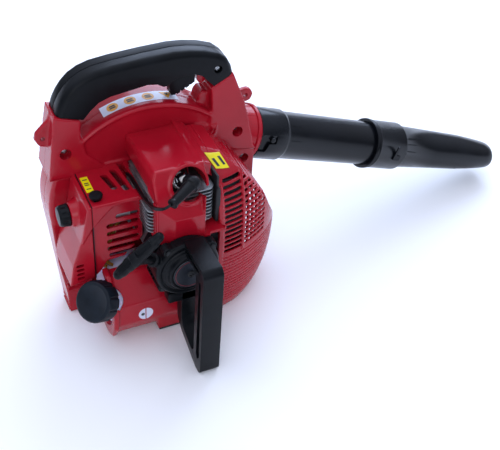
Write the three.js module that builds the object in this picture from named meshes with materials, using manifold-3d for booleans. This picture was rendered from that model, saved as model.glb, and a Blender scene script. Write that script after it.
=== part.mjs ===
// Hand-held 26 cc petrol leaf blower: fan case, two-stroke engine, handle, tank and blower tubes.
// Millimetres, +Z up, +X towards the nozzle, -Y the engine side, origin under the middle on the ground.
import * as THREE from "three";
import { mergeVertices } from "three/addons/utils/BufferGeometryUtils.js";
import Module from "manifold-3d";

const wasm = await Module();
wasm.setup();

// Driving dimensions
const GAP = 0.3; // clearance between touching pieces
const GROUND = -152; // ground level below the fan case's centre
const CASE_CENTRE = new THREE.Vector3(-227.5, 106.5, -GROUND); // the case centre in the part's own frame
const CASE_R = 132;
const CASE_WALL = 4;
const CASE_BACK = -50; // engine-side face of the fan case
const CASE_FRONT = 0; // intake-side face of the fan case
const SPLIT = -26; // plane where the two halves of the case, housing and grip meet
const SEAM_Z = 55; // handle housing above, lower fan case below
const CRANK_Z = -18; // crankshaft centre below the case centre
const FAN_R = 104;
const EYE_R = 60; // air intake hole
const GRIP_HALF = 19;
const CYLINDER_Y = -101;
const BORE_R = 17.3;
const STROKE = 28;
const CRANKCASE = { back: -131, front: -71, r: 34 };
const STARTER = { face: -185, skirt: -168.6, r: 41, label: 25 };
const TANK = { y: -108, z: -97, r: 44, left: -84, right: 12 };
const TANK_GUARD = [[-120, -50], [-133, -50.5], [-158.5, -85], [-157.5, -117], [-147, -138], [-130, -147.6],
  [-78, -147.6], [-78, -97], [-120, -97]];
const TUBE = { x: 145, y: -11, z: 34.5, slope: 19.3, r: 33, wall: 2.4 };
const CAP_AXIS = new THREE.Vector3(-0.72, -0.42, 0.55).normalize();
const CAP_AT = new THREE.Vector3(-104, -146, -73);
const ROPE_AXIS = new THREE.Vector3(-0.69, -0.35, 0.63).normalize();
const ROPE_GUIDE = new THREE.Vector3(-44, -178, 6);
const ROPE_FREE = 34; // length of rope between the guide and the handle, and behind the guide
const PLUG_AXIS = new THREE.Vector3(0.12, -0.8, 0.59).normalize();

const UP = new THREE.Vector3(0, 1, 0);
const machine = new THREE.Group();
machine.position.copy(CASE_CENTRE);

// A closed geometry as a solid that can be joined and cut.
function solid(geometry) {
  const bare = geometry.clone();
  bare.deleteAttribute("normal");
  bare.deleteAttribute("uv");
  const merged = mergeVertices(bare, 1e-4);
  const index = new Uint32Array(merged.index.array);
  const build = () => new wasm.Manifold(new wasm.Mesh({
    numProp: 3,
    vertProperties: merged.attributes.position.array,
    triVerts: index,
  }));
  const made = build();
  if (made.volume() > 0) return made;
  index.reverse();
  return build();
}

function geometryOf(piece) {
  const mesh = piece.getMesh();
  const points = new Float32Array(mesh.numVert * 3);
  for (let i = 0; i < mesh.numVert; i++) {
    const start = i * mesh.numProp;
    points.set(mesh.vertProperties.subarray(start, start + 3), i * 3);
  }
  const geometry = new THREE.BufferGeometry();
  geometry.setAttribute("position", new THREE.BufferAttribute(points, 3));
  geometry.setIndex(new THREE.BufferAttribute(mesh.triVerts, 1));
  return geometry.toNonIndexed();
}

function join(first, ...others) {
  return others.reduce((made, other) => made.add(other), first);
}

function cut(first, ...others) {
  return others.reduce((made, other) => made.subtract(other), first);
}

// Basic shapes in the machine's frame
function block(x0, x1, y0, y1, z0, z1) {
  const geometry = new THREE.BoxGeometry(x1 - x0, y1 - y0, z1 - z0);
  geometry.translate((x0 + x1) / 2, (y0 + y1) / 2, (z0 + z1) / 2);
  return solid(geometry);
}

// A round bar of radius r along the crank direction.
function drum(r, y0, y1, x = 0, z = 0, sides = 32) {
  const geometry = new THREE.CylinderGeometry(r, r, y1 - y0, sides);
  geometry.translate(x, (y0 + y1) / 2, z);
  return solid(geometry);
}

// A round bar of radius r from one point to another.
function bar(r, from, to, sides = 20, rEnd = r) {
  const way = to.clone().sub(from);
  const geometry = new THREE.CylinderGeometry(rEnd, r, way.length(), sides);
  geometry.translate(0, way.length() / 2, 0);
  geometry.applyQuaternion(new THREE.Quaternion().setFromUnitVectors(UP, way.normalize()));
  geometry.translate(from.x, from.y, from.z);
  return solid(geometry);
}

function at(x, y, z) {
  return new THREE.Vector3(x, y, z);
}

// A side outline of [x, z] points, filled from y0 to y1.
function sideways(outline, y0, y1) {
  const shape = new THREE.Shape(outline.map(([x, z]) => new THREE.Vector2(x, z)));
  const geometry = new THREE.ExtrudeGeometry(shape, { depth: y1 - y0, bevelEnabled: false });
  geometry.rotateX(Math.PI / 2);
  geometry.translate(0, y1, 0);
  return solid(geometry);
}

// An end outline of [y, z] points, filled from x0 to x1.
function endways(outline, x0, x1) {
  const shape = new THREE.Shape(outline.map(([y, z]) => new THREE.Vector2(y, z)));
  const geometry = new THREE.ExtrudeGeometry(shape, { depth: x1 - x0, bevelEnabled: false });
  geometry.rotateX(Math.PI / 2);
  geometry.rotateZ(Math.PI / 2);
  geometry.translate(x0, 0, 0);
  return solid(geometry);
}

// A profile of [radius, height] points turned about +Y.
function turned(profile, sides = 32) {
  return new THREE.LatheGeometry(profile.map(([r, h]) => new THREE.Vector2(r, h)), sides);
}

// A profile that closes on itself, turned about +Y into a tube or ring.
function turnedRing(profile, sides = 32) {
  return turned([...profile, profile[0]], sides);
}

// Points of an arc about (cx, cz), in degrees from +X towards +Z.
function arc(cx, cz, r, from, to, steps) {
  return Array.from({ length: steps + 1 }, (_, i) => {
    const angle = THREE.MathUtils.degToRad(from + ((to - from) * i) / steps);
    return [cx + r * Math.cos(angle), cz + r * Math.sin(angle)];
  });
}

// A round cord or hose through points.
function hose(points, r, steps, sides = 8) {
  const curve = new THREE.CatmullRomCurve3(points);
  const section = new THREE.Shape(new THREE.Path().absarc(0, 0, r, 0, 2 * Math.PI).getPoints(sides / 4));
  return new THREE.ExtrudeGeometry(section, { steps, extrudePath: curve, bevelEnabled: false });
}

// Materials
function plastic(colour, roughness = 0.4) {
  return new THREE.MeshStandardMaterial({ color: colour, roughness, metalness: 0 });
}

function metal(colour, roughness = 0.4) {
  return new THREE.MeshStandardMaterial({ color: colour, roughness, metalness: 1 });
}

const RED = "#a81428";
const BLACK = "#14171c";

function add(name, shape, material, parent = machine) {
  const geometry = shape instanceof THREE.BufferGeometry ? shape : geometryOf(shape);
  const mesh = new THREE.Mesh(geometry, material);
  mesh.name = name;
  parent.add(mesh);
  return mesh;
}

// Fan case: the lower two shells, with a skirt behind that runs down to the foot
const REAR_SKIRT = [[-130, -20], [-122, GROUND], [-90, GROUND], [-90, -100], [-100, -20]];
const SKIRT_SIDE = [[CASE_FRONT, -10], [-48, GROUND], [-78, GROUND], [-78, -112], [CASE_BACK, -84], [CASE_BACK, -10]];
const SEAM_LINE = [[-135, SEAM_Z], [70, SEAM_Z - 2], [150, SEAM_Z - 22]];

function belowSeam(gap, y0, y1) {
  const line = SEAM_LINE.map(([x, z]) => [x, z - gap]);
  return sideways([[-160, SEAM_Z - gap], ...line, [200, SEAM_Z - 22 - gap], [200, -200], [-160, -200]], y0, y1);
}

// The outlet's centre line, by distance from where it leaves the case.
function alongTube(distance) {
  const angle = THREE.MathUtils.degToRad(TUBE.slope);
  return at(TUBE.x + distance * Math.cos(angle), TUBE.y, TUBE.z - distance * Math.sin(angle));
}

function fanCavity() {
  return join(
    drum(CASE_R - CASE_WALL, CASE_BACK + CASE_WALL, CASE_FRONT - CASE_WALL, 0, 0, 40),
    bar(TUBE.r - TUBE.wall - 1, alongTube(-80), alongTube(30), 24),
    bar(41, alongTube(3.7), alongTube(40), 24),
    drum(30, CASE_BACK - 1, CASE_BACK + CASE_WALL + 1, 0, CRANK_Z, 24),
    drum(EYE_R, CASE_FRONT - CASE_WALL - 1, CASE_FRONT + 1, 0, CRANK_Z, 32),
  );
}

// Drum, outlet duct and front flange in one, before the parting cuts
function caseBody() {
  const front = sideways([[60, 90], [118, 74], [138, 66], [147, 33], [148, -32], [128, -60], [60, -60]], CASE_BACK, CASE_FRONT);
  return cut(join(
    drum(CASE_R, CASE_BACK, CASE_FRONT, 0, 0, 40),
    bar(TUBE.r + 4, alongTube(-95), alongTube(8), 24),
    front,
  ), fanCavity());
}

function screwHole([x, z]) {
  return drum(5.5, CASE_BACK - 1, CASE_BACK + 10, x, z, 12);
}

const CASE_SCREWS = [[-106, 87], [120, 67], [132, 20]];
const ENGINE_SIDE = [-80, SPLIT - GAP / 2];
const INTAKE_SIDE = [SPLIT + GAP / 2, 40];

function fanCase(body) {
  const skirt = sideways(REAR_SKIRT, -80, 0).intersect(endways(SKIRT_SIDE, -140, 140));
  const foot = block(-86, 104, CASE_BACK, -4, GROUND, -118);
  const whole = cut(join(body, skirt, foot), fanCavity());
  const engineSide = cut(whole.intersect(belowSeam(0, ...ENGINE_SIDE)), screwHole(CASE_SCREWS[2]));
  add("fan_case_engine_side", engineSide, plastic(RED, 0.25));
  add("fan_case_intake_side", whole.intersect(belowSeam(0, ...INTAKE_SIDE)), plastic(RED, 0.25));
}

// Handle housing: the upper two shells with the posts that carry the grip
const POST_REAR = [[-116, 139], [-83, 128], [-84, 107], [-78, 80], [-55, 56], [-128, 56]];
const POST_FRONT = [[84, 137], [113, 153], [130, 108], [144, 60], [149, 34], [70, 54], [60, 70], [76, 92], [83, 108]];

function lug(x, z, innerX) {
  const [y0, y1] = [-34, SPLIT - GAP];
  const web = block(Math.min(x, innerX), Math.max(x, innerX), y0, y1, z - 10, z + 9);
  return cut(join(drum(10, y0, y1, x, z, 16), web), drum(2.8, y0 - 1, y1 + 1, x, z, 10));
}

function handleHousing(body) {
  const posts = join(sideways(POST_REAR, CASE_BACK, CASE_FRONT), sideways(POST_FRONT, CASE_BACK, CASE_FRONT))
    .intersect(endways([[CASE_BACK, 20], [CASE_FRONT, 20], [CASE_FRONT, 60], [-8, 150], [-8, 160], [-44.5, 160],
      [-44.5, 140], [CASE_BACK, 60]], -160, 160));
  const tab = sideways([[70, 100], [70, 122], [76, 128], [84, 126], [90, 100]], -34, -12);
  const whole = cut(cut(join(body, posts, tab), fanCavity()), belowSeam(-GAP, -100, 100));
  const half = ([y0, y1]) => whole.intersect(block(-170, 170, y0, y1, -50, 200));
  const engineSide = cut(join(half(ENGINE_SIDE), lug(-126, 102, -112), lug(137, 108, 120)),
    ...CASE_SCREWS.slice(0, 2).map(screwHole));
  add("handle_housing_engine_side", engineSide, plastic(RED, 0.25));
  add("handle_housing_intake_side", half(INTAKE_SIDE), plastic(RED, 0.25));
}

// Grip: two black halves clamped round the tops of the posts
const GRIP_TOP = [[-112, 138], [-106, 154], [-97, 168], [-82, 181], [-62, 188], [-38, 191], [0, 193], [36, 194], [60, 192],
  [92, 184], [107, 172], [113, 153.6]];
const GRIP_UNDER = [[87, 139.6], [79, 148], [71, 157], [59, 161], [39, 161], [30, 153], [22, 152], [12, 158], [-2, 159],
  [-24, 156], [-46, 153], [-61, 147], [-73, 136], [-80, 128]];

function gripHalf(y0, y1) {
  const controlsRoom = join(block(30, 68.6, SPLIT - 9, SPLIT + 9, 120, 182), block(69.4, 82, SPLIT - 7, SPLIT + 7, 120, 166));
  const postSeat = join(
    sideways([[-118, 141], [-80, 129], [-80, 100], [-118, 100]], -60, 20),
    sideways([[82, 136.8], [116, 155.6], [120, 120], [82, 110]], -60, 20),
  );
  return cut(sideways([...GRIP_TOP, ...GRIP_UNDER], y0, y1), controlsRoom, postSeat);
}

function grip() {
  const near = SPLIT - GRIP_HALF;
  const screw = drum(4, near - 1, near + 6, 92, 162, 12);
  add("grip_engine_side", cut(gripHalf(near, SPLIT - GAP / 2), screw), plastic(BLACK, 0.5));
  add("grip_intake_side", gripHalf(SPLIT + GAP / 2, SPLIT + GRIP_HALF), plastic(BLACK, 0.5));
}

// Throttle trigger, hinged at its upper front corner, and the stop switch ahead of it
function controls() {
  const lever = sideways([[67, 163], [62, 170], [48, 168], [36, 158], [33, 142], [35, 130], [42, 129], [55, 136],
    [66, 143]], SPLIT - 7, SPLIT + 7);
  const teeth = [0, 1, 2, 3].map((i) => block(41 + i * 6, 43 + i * 6, SPLIT - 8, SPLIT + 8, 120, 131 + i * 3));
  add("throttle_trigger", cut(lever, ...teeth), plastic("#101216", 0.6));
  const button = join(block(70, 81, SPLIT - 5, SPLIT + 5, 143, 158), drum(5, SPLIT - 5, SPLIT + 5, 75.5, 143, 16));
  add("stop_switch", button, plastic(RED, 0.35));
}

// Fan, flywheel and crankshaft, which turn as one
function fanImpeller() {
  const blades = Array.from({ length: 12 }, (_, i) => {
    const outline = [...arc(76, 62, 80, -148, -78, 4), ...arc(76, 62, 82.5, -78, -148, 4)];
    const shape = new THREE.Shape(outline.map(([x, z]) => new THREE.Vector2(x, z)));
    const blade = new THREE.ExtrudeGeometry(shape, { depth: 26, bevelEnabled: false });
    blade.rotateX(Math.PI / 2);
    blade.translate(0, -13, 0);
    blade.rotateY((i * Math.PI) / 6);
    return solid(blade);
  });
  const vanes = join(blades[0], ...blades.slice(1)).intersect(drum(FAN_R, -42, -12, 0, 0, 32));
  const body = join(drum(FAN_R, -42, -38, 0, 0, 32), drum(24, -42, -8, 0, 0, 20), vanes);
  const wheel = cut(body, drum(6 + GAP, -50, 0, 0, 0, 16), drum(14, -18, -5, 0, 0, 16));
  return geometryOf(wheel).translate(0, 0, CRANK_Z);
}

function flywheel() {
  const fins = Array.from({ length: 10 }, (_, i) => {
    const fin = new THREE.BoxGeometry(20, 8, 2.4);
    fin.translate(27, -64, 0);
    fin.rotateY((i * Math.PI) / 5);
    return solid(fin);
  });
  const disc = cut(join(drum(38, -61, -55, 0, 0, 28), drum(16, -67, -55, 0, 0, 20)), drum(6 + GAP, -70, -50, 0, 0, 16));
  return geometryOf(join(disc, ...fins)).translate(0, 0, CRANK_Z);
}

function crankshaft() {
  const shaft = join(drum(6, -107, -8, 0, 0, 16), drum(6, -150, -95, 0, 0, 16));
  const webs = join(drum(24, -95, -87, 0, 0, 28), drum(24, -115, -107, 0, 0, 28));
  const pin = drum(6, -108, -94, 0, STROKE / 2, 14);
  const middle = drum(7, -107 + GAP, -95 - GAP, 0, 0, 16);
  const carrier = drum(15, -149, -141, 0, 0, 20);
  return geometryOf(join(cut(shaft, middle), webs, pin, carrier)).translate(0, 0, CRANK_Z);
}

function rotatingParts() {
  add("fan_impeller", fanImpeller(), plastic("#1b1d20", 0.5));
  const nut = cut(drum(10, -17.5, -9.5, 0, CRANK_Z, 6), drum(6 + GAP, -20, 0, 0, CRANK_Z, 16));
  add("fan_nut", nut, metal("#b8bcc0"));
  add("flywheel", flywheel(), metal("#9a9da0", 0.5));
  add("crankshaft", crankshaft(), metal("#8d9094", 0.35));
}

// Engine block
function engine() {
  const { back, front, r } = CRANKCASE;
  const base = join(drum(r, back, front, 0, CRANK_Z, 32), block(-26, 26, back + 6, front - 6, 0, 15.7));
  const chamber = drum(27, -119, -83, 0, CRANK_Z, 28);
  const bore = bar(BORE_R + 2, at(0, CYLINDER_Y, -10), at(0, CYLINDER_Y, 20), 24);
  const bearings = drum(13, back - 1, front + 1, 0, CRANK_Z, 20);
  add("crankcase", cut(base, chamber, bore, bearings), metal("#8b8f92", 0.55));
  const ring = (y0, y1) => cut(drum(13 - GAP, y0, y1, 0, CRANK_Z, 20), drum(6 + GAP, y0 - 1, y1 + 1, 0, CRANK_Z, 16));
  add("main_bearing_fan_side", ring(-81, -72), metal("#c4c7ca", 0.25));
  add("main_bearing_starter_side", ring(-130, -121), metal("#c4c7ca", 0.25));
  add("cylinder", cylinderBlock(), metal("#8f9295", 0.6));
  const piston = cut(
    bar(BORE_R - GAP, at(0, CYLINDER_Y, 37), at(0, CYLINDER_Y, 63), 24),
    bar(13, at(0, CYLINDER_Y, 30), at(0, CYLINDER_Y, 57), 20),
  );
  add("piston", piston, metal("#b9bcbf", 0.35));
}

function cylinderBlock() {
  const fins = Array.from({ length: 6 }, (_, i) => {
    const z = 24 + i * 8.4;
    return bar(38, at(0, CYLINDER_Y, z), at(0, CYLINDER_Y, z + 2.2), 18);
  });
  const barrel = bar(24, at(0, CYLINDER_Y, 16), at(0, CYLINDER_Y, 76), 18);
  const leadRoom = block(-39, -33.4, -150, -60, 54.5, 80);
  const intake = bar(11, at(-20, CYLINDER_Y, 42), at(-39.7, CYLINDER_Y, 42), 16);
  const exhaust = bar(12, at(20, CYLINDER_Y, 48), at(49.7, CYLINDER_Y, 48), 16);
  const plugBoss = bar(13, at(2, -112, 64), at(2, -112, 64).addScaledVector(PLUG_AXIS, 22), 20);
  const plugSeat = bar(7, at(2, -112, 64).addScaledVector(PLUG_AXIS, 14), at(2, -112, 64).addScaledVector(PLUG_AXIS, 40), 16);
  const bore = bar(BORE_R, at(0, CYLINDER_Y, 10), at(0, CYLINDER_Y, 68), 20);
  const ports = join(
    bar(7, at(-5, CYLINDER_Y, 42), at(-41, CYLINDER_Y, 42), 12),
    bar(8, at(5, CYLINDER_Y, 48), at(51, CYLINDER_Y, 48), 12),
  );
  return cut(join(barrel, ...fins, intake, exhaust, plugBoss), bore, ports, plugSeat, leadRoom);
}

// Ignition: coil beside the flywheel, plug in the head, rubber boot and lead
const PLUG_FOOT = at(2, -112, 64).addScaledVector(PLUG_AXIS, 14 + GAP);

function plugPoint(distance) {
  return PLUG_FOOT.clone().addScaledVector(PLUG_AXIS, distance);
}

const PLUG_TIP = plugPoint(34);
const BOOT_ELBOW = at(12, -158, 92);
const BOOT_END = at(-18, -177, 85);
const LEAD_ROUTE = [at(-20.5, -178, 84), at(-28, -176, 79), at(-35, -164, 72), at(-36.6, -145, 66), at(-36.6, -120, 61),
  at(-36.6, -96, 60), at(-36, -74, 55), at(-35, -63, 49), at(-30.4, -58, 45)];

function ignition() {
  const plug = join(
    bar(6.6, PLUG_FOOT, plugPoint(9), 16),
    bar(10, plugPoint(8.4), plugPoint(16), 6),
    bar(5, plugPoint(15), PLUG_TIP, 16),
  );
  add("spark_plug", plug, plastic("#e9e6df", 0.3));
  const boot = join(
    bar(9, plugPoint(20), BOOT_ELBOW, 16),
    solid(new THREE.SphereGeometry(9.5, 14, 8).translate(...BOOT_ELBOW)),
    bar(9, BOOT_ELBOW, BOOT_END, 16, 5.5),
  );
  const plugRoom = bar(6, plugPoint(16.3), plugPoint(34.6), 16);
  add("spark_plug_boot", cut(boot, plugRoom), plastic("#15171a", 0.55));
  add("ignition_lead", hose(LEAD_ROUTE, 2.4, 36), plastic("#121417", 0.6));
  add("ignition_coil", join(block(-28, 10, -61.5, -53, 31, 54), block(-22, -4, -59, -53, 23, 33)), plastic("#1c1e22", 0.5));
}

// Fuel and air side
function intakeSide() {
  add("intake_manifold", cut(
    block(-48, -40, CYLINDER_Y - 14, CYLINDER_Y + 14, 29, 52),
    bar(7, at(-60, CYLINDER_Y, 42), at(-30, CYLINDER_Y, 42), 12),
  ), plastic("#22252a", 0.6));
  const throat = bar(8, at(-90, CYLINDER_Y, 42), at(-40, CYLINDER_Y, 42), 14);
  const pocket = drum(3.6, CYLINDER_Y - 20, CYLINDER_Y - 5, -60, 42, 12);
  add("carburettor", cut(join(
    block(-76, -48.3, CYLINDER_Y - 13, CYLINDER_Y + 13, 27, 52),
    block(-72, -52, CYLINDER_Y - 10, CYLINDER_Y + 10, 16, 28),
  ), throat, pocket), metal("#a4a7aa", 0.45));
  const arm = join(
    drum(3.2, CYLINDER_Y - 14.8, CYLINDER_Y - 9.5, -60, 42, 12),
    sideways([[-63, 39], [-57, 39], [-57, 45], [-60, 51.5], [-63, 45]], CYLINDER_Y - 15, CYLINDER_Y - 13.3),
  );
  add("throttle_arm", arm, metal("#c8b060", 0.4));
  const element = sideways([[-99, 16], [-105.5, 16], [-108.5, 2], [-114, -22], [-99, -22]], -112, -62);
  add("air_filter_element", element, plastic("#4a4d50", 0.95));
  airBox();
}

// The slotted cover round the carburettor and the removable cover behind it
const BOX = { right: -40, split: -97, front: -119, top: 56, low: -38 };
const REAR_WALL = [[-97.3, 56], [-103, 54], [-113, 2], [-125, -33], [-130, -63], [-97.3, -59]];
const KNOB_FACE = -117;

function boxOutline(x0, x1, low) {
  return [[x0, low], [x1, low], [x1, BOX.top], [x0, BOX.top]];
}

function airBox() {
  const { right, split, front, top, low } = BOX;
  const wall = 2.6;
  const back = CASE_BACK - GAP;
  const shell = cut(
    block(split + GAP, right, front, back, low, top),
    block(split - 5, right - wall, front + wall, back + 5, low - 5, top - wall),
  );
  const sideSlots = Array.from({ length: 6 }, (_, i) => {
    const z = 30 - i * 12;
    return block(i ? -82 : -68, -46, front - 2, front + 5, z - 2.6, z + 2.6);
  });
  const topSlots = [-63, -53, -44].map((x) => block(x - 3, x + 3, -104, -62, top - 6, top + 3));
  const chokeSlot = block(-92, -84, -112, -92, top - 8, top + 3);
  const manifoldGate = block(right - 5, right + 2, -116, -60, 20, 60);
  add("carburettor_cover", cut(shell, ...sideSlots, ...topSlots, chokeSlot, manifoldGate), plastic(RED, 0.25));
  const hollow = [[-90, 52], [-101, 50], [-109.8, 1], [-121.7, -34], [-126.4, -59.6], [-90, -55.6]];
  const boss = bar(11, at(-103.5, -85, 24), at(KNOB_FACE, -85, 24), 24);
  const inner = sideways(hollow, front + 3, back - 3);
  const knobHole = bar(5, at(-80, -85, 24), at(KNOB_FACE - 2, -85, 24), 12);
  const vents = [-54, -46, -38].map((z) => block(-140, -112, -116, -100, z - 2.2, z + 2.2));
  add("air_cleaner_cover", cut(join(sideways(REAR_WALL, front, back), boss), inner, knobHole, ...vents),
    plastic(RED, 0.25));
  coverKnob();
  chokeLever();
}

function coverKnob() {
  const flutes = Array.from({ length: 6 }, (_, i) => {
    const angle = (i * Math.PI) / 3;
    return drum(3.2, 4, 20, 15 * Math.cos(angle), 15 * Math.sin(angle), 10);
  });
  const head = solid(turned([[0, 0], [14, 0], [14, 9], [12, 13], [0, 13]], 24));
  const stem = drum(4, -12, 1, 0, 0, 12);
  const knob = add("cover_knob", join(cut(head, ...flutes), stem), plastic(BLACK, 0.5));
  knob.position.set(KNOB_FACE - GAP, -85, 24);
  knob.rotation.z = Math.PI / 2;
}

function chokeLever() {
  const stem = block(-90, -86, -109, -105, 20, 60);
  const pad = bar(8, at(-88, -107, 60), at(-88, -107, 64), 18);
  const shaft = bar(3.4, at(-91, -107, 22), at(-79, -107, 22), 12);
  add("choke_lever", join(stem, pad, shaft), plastic("#1a1c20", 0.5));
}

// Red cover over the cylinder, with the plug opening and the side window
function cylinderCover() {
  const profile = [[CASE_BACK - GAP, 9], [CASE_BACK - GAP, 98], [-140, 104], [-168, 56], [-168, 9]];
  const inside = [[CASE_BACK + 5, 0], [CASE_BACK + 5, 94], [-138, 100], [-164.5, 54], [-164.5, 0]];
  const outer = endways(profile, -32, 52);
  const hollow = endways(inside, -29, 49);
  const hole = bar(22, at(13, -120, 71), at(13, -185, 104), 28);
  const window = block(28, 60, -180, -149, 13, 78);
  const leftGate = block(-40, -25, -127, CASE_BACK - 2, 0, 72);
  const rightGate = block(40, 60, -147, -65, 0, 84);
  add("cylinder_cover", cut(outer, hollow, hole, window, leftGate, rightGate), plastic(RED, 0.25));
}

// Exhaust side: muffler, heat shield and the slatted guard
const GUARD = { x: 53, y: -46, z: -50, rx: 122, ry: 108, rz: 150, across: 1.9, round: 3.2, wall: 3 };
const GUARD_SIDE = [[40, 99], [56, 98], [70, 92], [88, 71], [109, 47], [127, 21], [140, -9], [156, -40], [168, -72],
  [174, -110], [170, -160], [40, -160]];
const GUARD_INSIDE = [[40, 96], [55, 95], [68, 89.5], [86, 68.5], [106, 45], [124, 19.5], [137, -9], [153, -40], [165, -72],
  [171, -110], [167, -160], [40, -160]];

// A fuller ball: an ellipsoid whose sections across X lean towards rounded squares.
function fullBall(shrink) {
  const ball = new THREE.SphereGeometry(1, 20, 12);
  const place = ball.attributes.position;
  const p = new THREE.Vector3();
  for (let i = 0; i < place.count; i++) {
    p.fromBufferAttribute(place, i);
    const ring = (Math.abs(p.y) ** GUARD.round + Math.abs(p.z) ** GUARD.round) ** (1 / GUARD.round);
    p.multiplyScalar((Math.abs(p.x) ** GUARD.across + ring ** GUARD.across) ** (-1 / GUARD.across));
    place.setXYZ(i, p.x, p.y, p.z);
  }
  ball.scale(GUARD.rx - shrink, GUARD.ry - shrink, GUARD.rz - shrink);
  ball.translate(GUARD.x, GUARD.y, GUARD.z);
  return solid(ball);
}

function exhaustSide() {
  const pot = solid(new THREE.BoxGeometry(38, 48, 52).translate(74, CYLINDER_Y + 3, 29));
  const inlet = bar(8, at(45, CYLINDER_Y, 48), at(60, CYLINDER_Y, 48), 12);
  const outlet = bar(6, at(80, -140, 20), at(80, -115, 20), 12);
  add("muffler", cut(pot, inlet, outlet), metal("#2a2b2d", 0.6));
  const shield = cut(
    block(50, 53.5, -146, -66, 12, 82),
    bar(13, at(45, CYLINDER_Y, 48), at(56, CYLINDER_Y, 48), 16),
  );
  add("muffler_heat_shield", shield, metal("#1d1f22", 0.6));
  const keep = block(55, 200, -160, CASE_BACK - GAP, GROUND + 0.5, 150);
  const slots = Array.from({ length: 9 }, (_, i) => {
    const z = 64 - i * 17;
    return join(block(62, 95, -170, -88, z - 4, z + 4), block(101, 190, -150, -58, z - 4, z + 4));
  });
  const inside = fullBall(GUARD.wall).intersect(sideways(GUARD_INSIDE, -160, 0));
  const shell = cut(fullBall(0).intersect(sideways(GUARD_SIDE, -160, 0)), inside).intersect(keep);
  add("muffler_guard", cut(shell, ...slots), plastic(RED, 0.25));
}

// Recoil starter
function alongRope(distance) {
  return ROPE_GUIDE.clone().addScaledVector(ROPE_AXIS, distance);
}

function starter() {
  const { face, skirt, r, label } = STARTER;
  const back = CRANKCASE.back - GAP;
  const barrel = cut(drum(r, skirt, back, 0, CRANK_Z, 32), block(-50, 50, -170, -120, 8.6, 40));
  const housing = join(barrel, drum(r, face, skirt, 0, CRANK_Z, 32), drum(label, face - 8, face, 0, CRANK_Z, 28),
    bar(8, at(-26, -176, -10), ROPE_GUIDE, 14));
  const room = join(drum(25.5, -180, -150, 0, CRANK_Z, 28), drum(20, -155, back + 1, 0, CRANK_Z, 24));
  const ropeWay = bar(3, alongRope(6), alongRope(-46), 10);
  const post = drum(6, -181, -156, 0, CRANK_Z, 16);
  add("recoil_starter_housing", join(cut(housing, room, ropeWay), post), plastic(BLACK, 0.45));
  const disc = drum(22, face - 9.6, face - 8 - GAP, 0, CRANK_Z, 32);
  add("starter_label_disc", disc, plastic("#23272d", 0.35));
  const reel = cut(drum(24, -176, -158, 0, CRANK_Z, 24), drum(6 + GAP, -180, -150, 0, CRANK_Z, 16));
  const groove = cut(drum(30, -171, -163, 0, CRANK_Z, 28), drum(18, -172, -162, 0, CRANK_Z, 24));
  add("starter_reel", cut(reel, groove), plastic("#d8d8d0", 0.5));
  pullHandle();
}

function pullHandle() {
  const centre = alongRope(ROPE_FREE);
  const along = at(-0.7, 0.1, -0.71).normalize();
  const bottom = centre.clone().addScaledVector(along, 30);
  const top = centre.clone().addScaledVector(along, -30);
  const grip = join(
    bar(8.5, centre, bottom, 16, 6.5),
    bar(8.5, centre, top, 16, 6.5),
    bar(6, alongRope(ROPE_FREE - 20), centre, 14, 8),
  );
  add("pull_handle", grip, plastic(BLACK, 0.45));
  const rope = bar(2, alongRope(-ROPE_FREE), alongRope(ROPE_FREE - 20 - GAP), 8);
  add("starter_rope", rope, plastic("#d9d9d4", 0.8));
}

// Second-hand loop in front of the starter
function loopHandle() {
  const outline = [[-185.4, 24], [-237, 24], [-243, 18], [-243, -146], [-239, GROUND], [-226, GROUND], [-180, -134],
    [-163, -118], [-160, -62], [-178, -62], [-178, -112], [-184, -121], [-214, -131], [-219, -126], [-219, 4],
    [-216, 9], [-185.4, 9]];
  const bracket = block(-24, 20, -178, -162, -76, -62);
  add("loop_handle", join(endways(outline, -6, 20), bracket), plastic(BLACK, 0.45));
}

// Fuel tank with its guard
function fuelSide() {
  const { y, z, r, left, right } = TANK;
  const body = bar(r, at(left, y, z), at(right, y, z), 32);
  const hollow = bar(r - 3, at(left + 3, y, z), at(right - 3, y, z), 28);
  const neckFrom = CAP_AT.clone().addScaledVector(CAP_AXIS, -26);
  const neck = bar(18, neckFrom, CAP_AT, 20);
  const mouth = bar(14, neckFrom, CAP_AT.clone().addScaledVector(CAP_AXIS, 5), 20);
  add("fuel_tank", cut(join(body, neck), hollow, mouth), plastic("#d9d6e6", 0.4));
  fuelCap();
  const guardInner = bar(r + 1, at(left - 5, y, z), at(right + 20, y, z), 32);
  const engineRoom = join(drum(36, -140, -60, 0, CRANK_Z, 28), drum(43, -190, CRANKCASE.back + 1, 0, CRANK_Z, 28));
  const shell = cut(endways(TANK_GUARD, left - 2, right + 8), guardInner, engineRoom);
  const foot = cut(block(-26, 6, y - 44, y - 10, GROUND + 4, z - 28), guardInner);
  const capRoom = bar(28, CAP_AT.clone().addScaledVector(CAP_AXIS, -40), CAP_AT.clone().addScaledVector(CAP_AXIS, 30), 24);
  add("tank_guard", cut(join(shell, foot), capRoom), plastic(RED, 0.25));
  add("front_foot_rubber", block(-25, 5, y - 43, y - 11, GROUND, GROUND + 4 - GAP), plastic("#0e1013", 0.8));
  for (const [name, x] of [["fuel_line_feed", -90], ["fuel_line_return", -82]]) {
    const route = [at(x + 8, -113, -50.5), at(x, -112.5, -40), at(x + 3, -110, -24), at(x + 17, -104, 0), at(x + 24, -101, 12.8)];
    add(name, hose(route, 2.6, 12), plastic("#8a5a20", 0.35));
  }
}

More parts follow.
